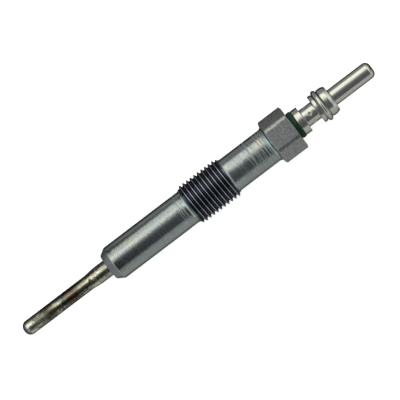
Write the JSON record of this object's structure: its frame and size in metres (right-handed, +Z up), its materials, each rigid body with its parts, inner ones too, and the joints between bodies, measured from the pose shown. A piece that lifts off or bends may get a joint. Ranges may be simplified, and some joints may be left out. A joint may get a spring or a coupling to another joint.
{
  "type": "diesel glow plug",
  "caption": "Metal-sheath diesel glow plug: slim rounded heater tube, conical seat, fine-threaded shell with hexagon, green insulating washer and round push-on terminal, lying on its side.",
  "frame": {"origin": "on the plug's axis, at the end face of the shell where the heater tube comes out of the sealing cone", "axes": "+X along the plug's axis towards the terminal, +Z up with a hexagon flat facing down, +Y across; the plug lies on a hexagon flat and the thread"},
  "size_m": [0.0966, 0.011, 0.01],
  "materials": {
    "plated_steel": "zinc plated, fine turning marks",
    "tinted_alloy": "nickel alloy with straw and brown heat tint",
    "heating_wire": "drawn resistance wire",
    "control_wire": "drawn wire",
    "magnesia": "compacted powder",
    "seal_rubber": "matt elastomer",
    "rod_steel": "turned steel",
    "ring_rubber": "matt elastomer",
    "green_insulator": "moulded, satin",
    "nickel_plate": "bright nickel plate"
  },
  "bodies": {
    "root": {"shell": "plated_steel", "glow_tube": "tinted_alloy", "heating_coil": "heating_wire", "control_coil": "control_wire", "magnesia_fill": "magnesia", "tube_seal": "seal_rubber", "centre_rod": "rod_steel", "o_ring": "ring_rubber", "insulating_washer": "green_insulator", "terminal_pin": "nickel_plate"}
  },
  "joints": []
}
